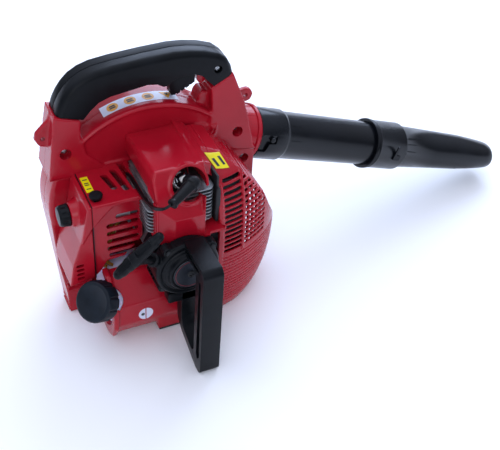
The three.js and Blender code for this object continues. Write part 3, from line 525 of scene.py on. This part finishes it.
# Muffler, its heat shield and the black strip of the shield that shows in the side window: pressed steel in
# heat-proof paint. The lower shell is a plain dark box that closes the view through the guard's openings.
stove_black = finish("heatproof_black_paint", ("#17181b", "#212326"), 7, 0.7, 0.05, (0.55, 0.72),
                     Specular_IOR_Level=0.4)
piece("muffler_box", eased(recast("muffler"), 5, 4), stove_black, stands_for=["muffler"])
lower_chamber = fused(block(49, 93, -128, -80, -60, 58), block(49.5, 101, -129, -81, -92, 36))
piece("muffler_lower_shell", eased(lower_chamber, 6, 4), stove_black)
shield_strip = prism([(49.5, 13), (54.5, 13), (55.5, 24), (55.5, 60), (53.5, 67), (50.5, 67), (49, 60), (48.5, 26)],
                     -149, -139, corner=2)
shield = gathered(recast("muffler_heat_shield"), shield_strip)
piece("heat_shield", moulded(shield, 0.9, 4), stove_black, stands_for=["muffler_heat_shield"])
bolt = gathered(rod((34, -148, 22), (34, -138, 22), 4, sides=6), rod((34, -151, 22), (34, -148, 22), 2.4))
piece("shield_bolt", eased(bolt, 0.4, 2), zinc)

# Form of the muffler guard, which the cylinder cover's shoulder follows too: a squarish dome about GUARD, cut to the
# outline that shows from the engine side.
GUARD = Vector((53, -46, -50))
HALF_X, HALF_Y, HALF_Z = 122, 108, 150
SQUARE, DOMED = 3.2, 1.9  # powers of the curve across the guard and along x: 2 is a circle, more is squarer
GUARD_SIDE = [(20, 98), (54, 94), (70, 89), (88, 70), (109, 47), (127, 21), (140, -9), (156, -40), (168, -72),
              (174, -110), (170, -160), (20, -160)]


def grown(outline, by):
    """A clockwise outline with each corner moved outwards."""
    moved = []
    for before, here, after in zip(outline[-1:] + outline[:-1], outline, outline[1:] + outline[:1]):
        come = (Vector(here) - Vector(before)).normalized()
        go = (Vector(after) - Vector(here)).normalized()
        out = Vector((-come.y - go.y, come.x + go.x)).normalized()
        moved.append(tuple(Vector(here) + out * by))
    return moved


def bulge(grow):
    """The guard's form: a ball pushed out towards a barrel, trimmed to the side outline."""
    shape = bmesh.new()
    bmesh.ops.create_uvsphere(shape, u_segments=96, v_segments=64, radius=1)
    for v in shape.verts:
        round_x = (abs(v.co.y) ** SQUARE + abs(v.co.z) ** SQUARE) ** (1 / SQUARE)
        v.co *= (abs(v.co.x) ** DOMED + round_x ** DOMED) ** (-1 / DOMED)
        v.co = Vector((v.co.x * (HALF_X + grow), v.co.y * (HALF_Y + grow), v.co.z * (HALF_Z + grow))) + GUARD
    return kept(shape, prism(grown(GUARD_SIDE, grow), -200, 20))


def guard_skin(outer, inner, *within):
    """The part of the guard's wall between two depths that lies inside every given solid."""
    return kept(carved(bulge(outer), bulge(inner)), *within)


# Cylinder cover: glossy red ABS over the cylinder, flat on top, sloping to a faceted front with the plug opening in
# a raised collar. A tall window at its right shows the fins.
def sliced(shape, a, b, c, away):
    """Cuts a flat facet through three points and throws away what lies on that side of it."""
    a, b, c = Vector(a), Vector(b), Vector(c)
    facing = (b - a).cross(c - a)
    if facing.dot(Vector(away)) < 0:
        facing.negate()
    cut = bmesh.ops.bisect_plane(shape, geom=shape.verts[:] + shape.edges[:] + shape.faces[:], plane_co=a,
                                 plane_no=facing, clear_outer=True)
    bmesh.ops.holes_fill(shape, edges=[g for g in cut["geom_cut"] if isinstance(g, bmesh.types.BMEdge)])
    bmesh.ops.recalc_face_normals(shape, faces=shape.faces[:])
    return shape


slope_way = Vector((0, -57, 28)).normalized()
opening = Vector((13, -150, 84))
main = prism([(-43, 9), (-43, 97), (-60, 99), (-140, 104), (-168, 47), (-168, 9)], -30, 36, "X")
left_facet = (-11, -168, 9), (-29, -160, 30), (-11, -168, 47), (-1, -1, 0)
main = sliced(main, *left_facet)
main = sliced(main, (-30.5, -40, 92), (-26, -140, 104.5), (-30.5, -140, 92), (-1, 0, 1))
main = sliced(main, (-34, -40, 94), (40, -40, 94), (0, -52, 99), (0, 1, 1))
nose = prism([(-127, 9), (-127, 76), (-146, 73), (-168, 47), (-168, 9)], -31, 29.9, "X")
nose = sliced(nose, *left_facet)
shoulder = gathered(kept(bulge(-0.2), block(24, 54.6, -170, -50.4, 60, 110)),
                    prism([(30, 103), (36, 101.5), (46, 96), (46, 80), (30, 80)], -137, -43))
sill = gathered(block(24, 57, -164, -120, 9, 12.4), block(26, 30, -168, -120, 9, 90))
sill_lip = prism([(24, 9), (57, 9), (59, 13), (57, 16), (54.5, 12.4), (24, 12.4)], -164, -158)
collar = rod(opening - slope_way * 8, opening + slope_way * 1.6, 25)
cover = moulded(gathered(main, nose, shoulder, sill, sill_lip, collar), 1.2, 9)
inside = prism([(-30, -10), (-30, 93), (-137, 99.5), (-157.4, 50), (-157.4, -10)], -26.5, 26.5, "X")
window = prism([(27.5, 12.6), (57, 12.6), (57, 64), (51, 72), (38, 79), (27.5, 78)], -190, -60, corner=3)
cover = carved(cover, inside, rod(opening - slope_way * 40, opening + slope_way * 30, 21.4), window,
               block(-45, -25, -127, -30, 0, 72))
piece("cylinder_cover_shell", cover, gloss_abs, stands_for=["cylinder_cover"])

# Muffler guard: a bulging red ABS cage with two columns of louvres above and closed ribs below. Upright ribs inside
# it cross the louvres, so that the far column shows as a lattice.
keep_side = block(54, 200, -170, -50.2, -151.6, 150)
louvres = [block(62, 88, -180, -84, 61 - i * 7.8, 66 - i * 7.8, corner=1.8) for i in range(14)]
louvres += [block(92.5, 129, -170, -57, 54.5 - i * 7.8, 59.2 - i * 7.8, corner=1.8) for i in range(13)]
ledges = [block(50, 210, -180, -40, -50.5 - i * 5.6, -48.2 - i * 5.6) for i in range(16)]
shell = carved(guard_skin(0, -2.8, keep_side), gathered(*louvres))
shell = carved(shell, guard_skin(3, -1.3, gathered(*ledges)))
frame_edge = guard_skin(1.4, -5, block(53.4, 59.5, -170, -50.2, -146, 62))
mid_rib = guard_skin(1.6, -4, block(88.5, 92, -180, -70, -46, 72))
uprights = gathered(*[block(x, x + 2.4, -170, -60, -44, 50) for x in (99, 106.5, 114, 121.5)])
inner_ribs = guard_skin(-2.4, -8, uprights)
guard = moulded(gathered(shell, frame_edge, mid_rib, inner_ribs), 0.9, 2)
piece("muffler_guard_cage", guard, gloss_abs, stands_for=["muffler_guard"])
yellow_vinyl = finish("printed_vinyl_yellow", ("#e3d600", "#ecdf08"), 30, 1.2, 0.004, (0.3, 0.4))
label = guard_skin(0.6, 0.1, prism([(49, 91.5), (68, 89), (75, 75), (57, 78.6)], -150, -95))
piece("guard_label", label, yellow_vinyl)
bars = guard_skin(0.8, 0.15, gathered(prism([(63, 87.5), (66.5, 87), (71, 79.5), (68, 79.5)], -150, -95),
                                      prism([(55, 87), (58.5, 87), (63, 80), (60, 80)], -150, -95)))
piece("guard_label_bars", bars, vinyl_dark)

# Carburettor cover and air cleaner cover: two red ABS boxes that meet at a thin black seam.
# Three slots in the top and six in the side; a raised band crosses both covers; a black fluted knob holds the rear
# one.
front_face = -117
side_panel = prism([(-97, -59), (-88, -50), (-81, -37), (-58, -36), (-34, -10), (-34, 56), (-97, 56)],
                   front_face, -43)
top_lip = prism([(-97, -121), (-24, -121), (-29.5, -112), (-29.5, -43), (-97, -43)], 51, 57.4, "Z")
band = prism([(-97, 57.4), (-26, 57.4), (-32, 53), (-70, 52.5), (-97, 25)], -121.6, -100)
box = moulded(gathered(side_panel, top_lip, band), 1.1, 6)
box = carved(box, prism([(-110, -70), (-37, -70), (-37, 53), (-110, 53)], front_face + 2.6, -47))
side_slots = [block(left, -39, -130, -104, z - 3.5, z + 3.5, corner=3)
              for z, left in [(31, -68), (18.5, -80), (6, -80), (-6.5, -80), (-18, -80), (-29, -78)]]
top_slots = [prism([(x0 - 4, y0), (x0 + 4, y0), (x1 + 4, y1), (x1 - 4, y1)], 45, 65, "Z", corner=3)
             for x0, y0, x1, y1 in [(-67, -66, -61, -98), (-53.5, -60, -48, -104), (-40.5, -48, -36.5, -106)]]
choke_slot = prism([(-93.5, -113), (-82.5, -113), (-82.5, -94.5), (-93.5, -94.5)], 45, 65, "Z", corner=3)
box = carved(box, gathered(*side_slots), gathered(*top_slots), choke_slot, block(-36, -20, -116, -60, 20, 50))
piece("carburettor_cover_shell", box, gloss_abs, stands_for=["carburettor_cover"])

rear = prism([(-97.4, 56.6), (-103, 54), (-113, 2), (-125, -33), (-130, -64), (-97.4, -59)], -119, -50.3)
rear_band = prism([(-97.4, 57.4), (-97.4, 25), (-112, 2), (-111, 10), (-103, 55)], -121.6, -100)
knob_y, knob_z = -85, 24
boss = rod((-102, knob_y, knob_z), (-116.7, knob_y, knob_z), 20, 15)
cleaner = moulded(gathered(rear, rear_band, boss), 1.1, 7)
vents = [block(-121, -111, -130, -112, z - 2.3, z + 2.3, corner=2) for z in (-33, -40, -47, -54)]
cleaner_room = prism([(-90, 52), (-100.5, 50), (-109, 1), (-120.5, -34), (-125, -58), (-90, -54)], -115.5, -54)
cleaner = carved(cleaner, cleaner_room, gathered(*vents), rod((-140, knob_y, knob_z), (-95, knob_y, knob_z), 5))
piece("air_cleaner_cover_shell", cleaner, gloss_abs, stands_for=["air_cleaner_cover"])
seam_seal = carved(prism([(-97.7, -58), (-96.7, -58), (-96.7, 57.2), (-97.7, 57.2)], -120.4, -50.5),
                   prism([(-99, -54), (-95, -54), (-95, 52), (-99, 52)], -114, -52))
piece("cover_seal", seam_seal, epdm)

choke_label = prism([(-96, -62), (-84.5, -62), (-84.5, -94), (-96, -94)], 57, 57.35, "Z")
piece("choke_label_frame", choke_label, vinyl_dark)
choke_face = prism([(-94.8, -63), (-85.6, -63), (-85.6, -93), (-94.8, -93)], 57.2, 57.6, "Z")
piece("choke_label_face", choke_face, yellow_vinyl)
choke_bars = gathered(*[prism([(-93, y), (-87.4, y), (-87.4, y - 1.6), (-93, y - 1.6)], 57.3, 57.8, "Z")
                        for y in (-68, -75, -78.5, -86)])
piece("choke_label_bars", choke_bars, vinyl_dark)

# Choke lever: a round thumb pad on a stem that leans back along its slot about a shaft inside the cover.
pad = turned([(0, 0), (7.6, 0), (8.2, 0.8), (8.2, 3.4), (7.4, 4.2), (0, 4.4)], start=(-88, -107, 60.4),
             along=(0, 0, 1), steps=40)
choke = gathered(rod((-88, -107, 20), (-88, -107, 60), 2.4), pad, rod((-88, -107, 56.5), (-88, -107, 59), 4.5),
                 rod((-91, -107, 22), (-79, -107, 22), 3.4))
piece("choke_pad", choke, grip_nylon, body="choke", stands_for=["choke_lever"])

# Cover knob, with eight flutes.
knob_flutes = [rod((-139, y, z), (-119.5, y, z), 3.8) for y, z in ring_points(knob_y, knob_z, 16.4, 8)]
knob = turned([(0, 0), (14.5, 0), (14.5, 1.5), (13.6, 10), (11.6, 13), (0, 13.4)], start=(-117.3, knob_y, knob_z),
              along=(-1, 0, 0))
knob = moulded(carved(knob, gathered(*knob_flutes)), 0.7, 3)
stem = rod((-117.6, knob_y, knob_z), (-105.5, knob_y, knob_z), 4)
piece("cover_knob_head", gathered(knob, stem), grip_nylon, body="knob", stands_for=["cover_knob"])

# Recoil starter: a round black nylon housing on the engine's axis, stepped down to a label disc with a centre screw,
# with a ferrule where the rope comes out. The reel inside is white acetal.
acetal = finish("white_acetal", ("#d9d9d2", "#e2e2dc"), 12, 1.0, 0.005, (0.25, 0.35))
dress(acetal, "starter_reel")

def crank_turned(profile, steps=64):
    """A profile of (radius, y) points spun about the engine's axis."""
    return turned(profile, start=(0, 0, CRANK_Z), along=(0, 1, 0), steps=steps)


housing = crank_turned([(0, -192.6), (23.8, -192.6), (24.4, -193.3), (25.6, -193.3), (27, -192.5), (27.6, -189.5),
                        (28.6, -187), (32, -186.4), (33, -184.6), (34.5, -184.6), (35.5, -186), (38.5, -186),
                        (41, -183), (41, -131.3), (0, -131.3)])
bolt_turns = [math.radians(degrees) for degrees in (38, 128, 218, 308)]
bolt_spots = [(40 * math.cos(a), CRANK_Z + 40 * math.sin(a)) for a in bolt_turns]
feet = [rod((x, -140, z), (x, -182, z), 6.5) for x, z in bolt_spots]
guide = Vector((-44, -178, 6))
rope_axis = Vector((-0.69, -0.35, 0.63)).normalized()
neck = rod((-26, -176, -10), guide, 8, 7)
flare = rod(guide - rope_axis * 3.5, guide, 8.8, 8.8)
starter = moulded(gathered(housing, *feet, neck, flare), 0.9, 3)
grooves = gathered(*[on_crank(y, y - 3.2, 45) for y in (-148, -155, -162)])
ring_cut = carved(grooves, on_crank(-140, -175, 38.8, 64))
starter = carved(starter, ring_cut, on_crank(-180, -120, 25.5), block(-50, 50, -170, -120, 8.6, 40),
                 rod(guide + rope_axis * 6, guide - rope_axis * 46, 3))
post = on_crank(-181, -156, 6)
piece("recoil_housing", gathered(starter, post), grip_nylon, stands_for=["recoil_starter_housing"])
hex_bolts = [rod((x, -182, z), (x, -184.5, z), 4, sides=6) for x, z in bolt_spots]
piece("starter_bolts", gathered(*[eased(b, 0.5, 2) for b in hex_bolts]), stove_black)
slate = finish("printed_disc_slate", ("#1d2128", "#242932"), 20, 1.0, 0.004, (0.3, 0.4))
dull_red = finish("printed_ring_dull_red", ("#7a2b30", "#86343a"), 20, 1.0, 0.004, (0.3, 0.4))
disc = crank_turned([(0, -192.8), (0, -193.6), (22, -193.6), (22.4, -193.2), (22.4, -192.8)])
piece("starter_disc", disc, slate, stands_for=["starter_label_disc"])
ring = crank_turned([(19.6, -193.5), (20.2, -193.5), (20.2, -193.85), (19.6, -193.85)])
piece("starter_disc_ring", ring, dull_red)
centre = crank_turned([(0, -193.5), (5, -193.5), (5, -195), (4, -196.4), (0, -196.8)], steps=24)
recess = fused(block(-3.4, 3.4, -200, -195.6, CRANK_Z - 0.6, CRANK_Z + 0.6),
               block(-0.6, 0.6, -200, -195.6, CRANK_Z - 3.4, CRANK_Z + 3.4))
piece("starter_centre_screw", carved(centre, recess), stove_black)

# Pull handle and rope: a black nylon bar with a scooped front for the fingers, on a braided nylon rope.
braid = finish("braided_nylon_rope", ("#c9c9c4", "#dededa"), 2, 1.3, 0.35, (0.7, 0.85))
dress(braid, "starter_rope")
centre = guide + rope_axis * 34
along = Vector((-0.7, 0.1, -0.71)).normalized()
bar = []
for reach, size in [(-38, 6), (-29, 7.6), (-14, 8.6), (0, 9.2), (12, 8.6), (24, 7.6), (31, 6.2)]:
    bar.append(sphere(centre + along * reach, size, 24, 14))
    low_end = reach - 6 if reach > 0 else reach
    bar.append(rod(centre + along * low_end, centre + along * (low_end + 6), size, sides=24))
bar.append(rod(centre - along * 38, centre, 6, 9.2))
bar.append(rod(centre, centre + along * 31, 9.2, 6.2))
bar.append(rod(guide + rope_axis * 2, centre, 5, 9))
scoops = [rod(centre + along * 5 * s + rope_axis * 10.5, centre + along * 28 * s + rope_axis * 9.5, 6, 5)
          for s in (-1, 1)]
handle = moulded(carved(moulded(gathered(*bar), 0.8, 4), *scoops), 0.8, 3)
handle = carved(handle, rod(guide + rope_axis * 0.5, guide + rope_axis * 14.3, 2.6))
piece("pull_bar", handle, grip_nylon, body="pull", stands_for=["pull_handle"])

# Loop handle: a black nylon strap of rounded square section that runs out from the starter, down, and back under it.
# A tapering groove is moulded down its rear side.
loop = [(-176, 24), (-237, 24), (-243, 18), (-243, -146), (-238, -152), (-226, -152), (-176, -132), (-163, -118),
        (-160, -62), (-178, -62), (-178, -110), (-184, -121), (-213, -132), (-219, -127), (-219, 3), (-215, 8),
        (-176, 8)]
strap = prism(loop, -5, 21, "X", corner=3.5)
strap = eased(strap, 4, 4, 50)
slit = prism([(-234.5, 2), (-232, 4), (-229.5, 2), (-227, -124), (-231, -132), (-237, -124)], -8, -1.5, "X",
             corner=1.5)
upper_slit = prism([(-178, 17), (-226, 18.5), (-228, 16), (-226, 13.5), (-178, 14)], -8, -2.5, "X", corner=1)
strap = carved(strap, slit, upper_slit)
bracket = block(-23, 20, -178, -162, -78, -62, corner=3)
piece("loop_strap", strap, grip_nylon, stands_for=["loop_handle"])
piece("loop_bracket", eased(bracket, 1.5, 3), grip_nylon)

# Fuel tank: milky blow-moulded polyethylene, a drum lying under the engine with a raised shoulder round the filler
# neck. Two amber vinyl fuel lines run up to the carburettor.
polyethylene = finish("milky_polyethylene", ("#d3d0e8", "#dedcf0"), 40, 1.6, 0.02, (0.3, 0.42), IOR=1.51,
                      Subsurface_Weight=0.35, Subsurface_Scale=0.004)
amber_vinyl = finish("amber_fuel_line", ("#7c501c", "#946224"), 12, 0.8, 0.01, (0.2, 0.3), Transmission_Weight=0.15)
dress(amber_vinyl, "fuel_line_feed", "fuel_line_return")
cap_axis = Vector((-0.7210, -0.4206, 0.5507))
cap_at = Vector((-104, -146, -73))


def down_cap(start, end, r, sides=40):
    """A round bar on the filler cap's axis, between two distances from its seat."""
    return rod(cap_at + cap_axis * start, cap_at + cap_axis * end, r, sides=sides)


def along_tank(x0, x1, r, sides=64):
    """A round bar on the tank drum's axis."""
    return rod((x0, -108, -97), (x1, -108, -97), r, sides=sides)


tank = moulded(gathered(along_tank(-84, 12, 44), down_cap(-42, -11, 22), down_cap(-20, 0, 18.4)), 1.3, 9)
tank = carved(tank, fused(along_tank(-80, 8, 41, 40), down_cap(-30, 6, 13.5)))
piece("fuel_tank_drum", tank, polyethylene, stands_for=["fuel_tank"])

# Fuel cap: blue-black nylon screw cap with wide grip panels round its skirt.
cap_nylon = finish("blue_black_nylon", ("#0f151c", "#151d26"), 18, 0.9, 0.03, (0.34, 0.46), Specular_IOR_Level=0.2)
cap_skirt = turned([(0, -8), (26.5, -8), (26.5, 8.5), (25.3, 11), (22.6, 12), (20.5, 11.6), (19.6, 11.1), (0, 11.1)],
                   start=cap_at, along=cap_axis)
cap_turn = cap_axis.to_track_quat("Z", "Y")
panel_cuts = []
for x, y in ring_points(0, 0, 27.6, 10):
    out = cap_at + cap_turn @ Vector((x, y, 0))
    panel_cuts.append(rod(out - cap_axis * 12, out + cap_axis * 9.5, 2.6, 2.2, 16))
cap = carved(cap_skirt, gathered(*panel_cuts), down_cap(-12, 3, 18.8))
piece("fuel_cap_shell", eased(cap, 0.7, 2, 35), cap_nylon, body="cap", stands_for=["fuel_cap"])

# Tank guard: glossy red ABS trough round the tank, with two creases along it, a collar at the cap end, and the
# front foot.
trough = prism([(-84, -50), (-120, -50), (-133, -50.5), (-158.6, -85), (-157.6, -117), (-147, -138.5), (-130, -148),
                (-78, -148)], -86, 20, "X", corner=2.5)
collar_ring = prism([(-100, -46.4), (-121, -46.4), (-135, -47), (-162, -84), (-161, -118), (-149.6, -141),
                     (-131, -151), (-90, -151)], -89, -82, "X", corner=2.5)
front_foot = block(-27, 7, -152.5, -117, -148, -128)
red_guard = moulded(gathered(trough, collar_ring, front_foot), 1.3, 6)
engine_room = [block(-120, 60, -79, 0, -200, 0), block(-120, 60, -119, 0, -97, 0), on_crank(-200, -131, 42.5, 64),
               on_crank(-140, -60, 35.5, 64)]
red_guard = carved(red_guard, along_tank(-120, 40, 45), down_cap(-40, 40, 23, 64), down_cap(-9, 40, 27.6, 64),
                   *engine_room)
piece("tank_guard_trough", red_guard, gloss_abs, stands_for=["tank_guard"])
sole = block(-25, 5, -151, -119, -152, -148.3, corner=0)
piece("foot_sole", eased(sole, 0.8, 2), epdm, stands_for=["front_foot_rubber"])
sticker = rod((-46, -157.4, -105), (-46, -158.4, -105), 9.6, sides=48)
piece("guard_sticker", carved(sticker, block(-46.7, -45.3, -160, -150, -120, -80)), vinyl_white)
sticker_mark = rod((-50, -157.4, -105), (-50, -158.6, -105), 2.6, sides=6)
piece("guard_sticker_mark", sticker_mark, vinyl_dark)

# Intake guard: black nylon dome over the fan's eye, with two rings of radial slots.
dome = moulded(recast("intake_guard"), 1.0, 3)
piece("intake_guard_dome", dome, grip_nylon, stands_for=["intake_guard"])

# Blower tubes: black polypropylene. A red ring holds the first tube; a wider coupling with a lip joins the nozzle to
# it, and the nozzle tapers to a flattened mouth. Both couplings lock with a part turn.
polypropylene = finish("black_polypropylene", ("#080a0e", "#0c0f14"), 45, 1.4, 0.012, (0.2, 0.28),
                       Specular_IOR_Level=0.22)
tube_frame = Matrix.Translation(tube_start) @ Matrix(((math.sin(tube_slope), 0, down.x, 0), (0, -1, 0, 0),
                                                      (math.cos(tube_slope), 0, down.z, 0), (0, 0, 0, 1)))


def laid_down_tube(shape):
    """From the tube's own axes (x up, y to the engine side, z along it) to the machine's."""
    bmesh.ops.transform(shape, matrix=tube_frame, verts=shape.verts[:])
    return shape


def tube_turned(profile, steps=96):
    return turned(profile, along=(0, 0, 1), steps=steps)


ring = tube_turned([(31, 4), (38.4, 4), (39, 4.6), (39, 8.4), (38, 9.4), (35.6, 12), (31, 12)])
piece("outlet_ring_collar", laid_down_tube(ring), gloss_abs, stands_for=["outlet_ring"])
first = tube_turned([(30.6, 13), (34.8, 13), (35.5, 13.8), (35.5, 55.4), (34.9, 56.4), (34, 58.6), (33, 61),
                     (31.6, 246), (29.2, 246), (30.6, 70)])
bayonet = prism([(-9, 12), (12, 12), (16, 16), (16, 38), (5, 38), (4, 27), (-9, 25)], 31.4, 40, "Y", corner=1.5)
first = carved(first, bayonet)
knob_pin = rod((10, 29, 31), (10, 35.4, 31), 3.8, sides=20)


def index_marks(low, high, start, end):
    """Three fine raised lines along the tube, which show how far it has to turn to lock."""
    marks = []
    for angle in (35, 52, 72):
        mark = block(low, high, -0.4, 0.4, start, end)
        turn = Matrix.Rotation(math.radians(angle), 3, "Z")
        bmesh.ops.rotate(mark, cent=(0, 0, 0), matrix=turn, verts=mark.verts[:])
        marks.append(mark)
    return gathered(*marks)


piece("first_tube", laid_down_tube(first), polypropylene, body="tube", stands_for=["blower_tube"])
piece("first_tube_pin", laid_down_tube(eased(knob_pin, 0.6, 2)), polypropylene, body="tube")
piece("first_tube_marks", laid_down_tube(index_marks(31.6, 33.5, 64, 79)), polypropylene, body="tube")

# Nozzle: its mouth narrows by 18 percent one way over the last 75 mm, which flattens it.
tip = tube_turned([(32.5, 214), (36.4, 214), (37, 214.8), (37, 217.6), (36.2, 218.4), (35.6, 219), (35.6, 221),
                   (36.2, 221.8), (36, 223.2), (35.5, 224), (35.5, 271), (34.9, 272.4), (33, 274.6), (31.6, 276.4),
                   (29.2, 340), (27.5, 400), (26.9, 418), (26.5, 430), (25, 455), (23.6, 466), (22.2, 469.4),
                   (20.8, 470), (20.4, 468), (22.6, 455), (24.1, 430), (25.1, 400), (28.8, 278), (28.8, 248),
                   (32.5, 247)])
for v in tip.verts:
    v.co.x *= 1 - 0.18 * min(max((v.co.z - 395) / 75, 0), 1)
tip_bayonet = prism([(-3, 250), (20, 250), (20, 254), (5, 254), (5, 262), (-3, 262)], 35, 36.8, "Y", corner=0.8)
piece("nozzle_tube", laid_down_tube(tip), polypropylene, body="nozzle_body", stands_for=["nozzle"])
piece("nozzle_marks", laid_down_tube(gathered(tip_bayonet, index_marks(29.2, 32, 280, 294))), polypropylene,
      body="nozzle_body")
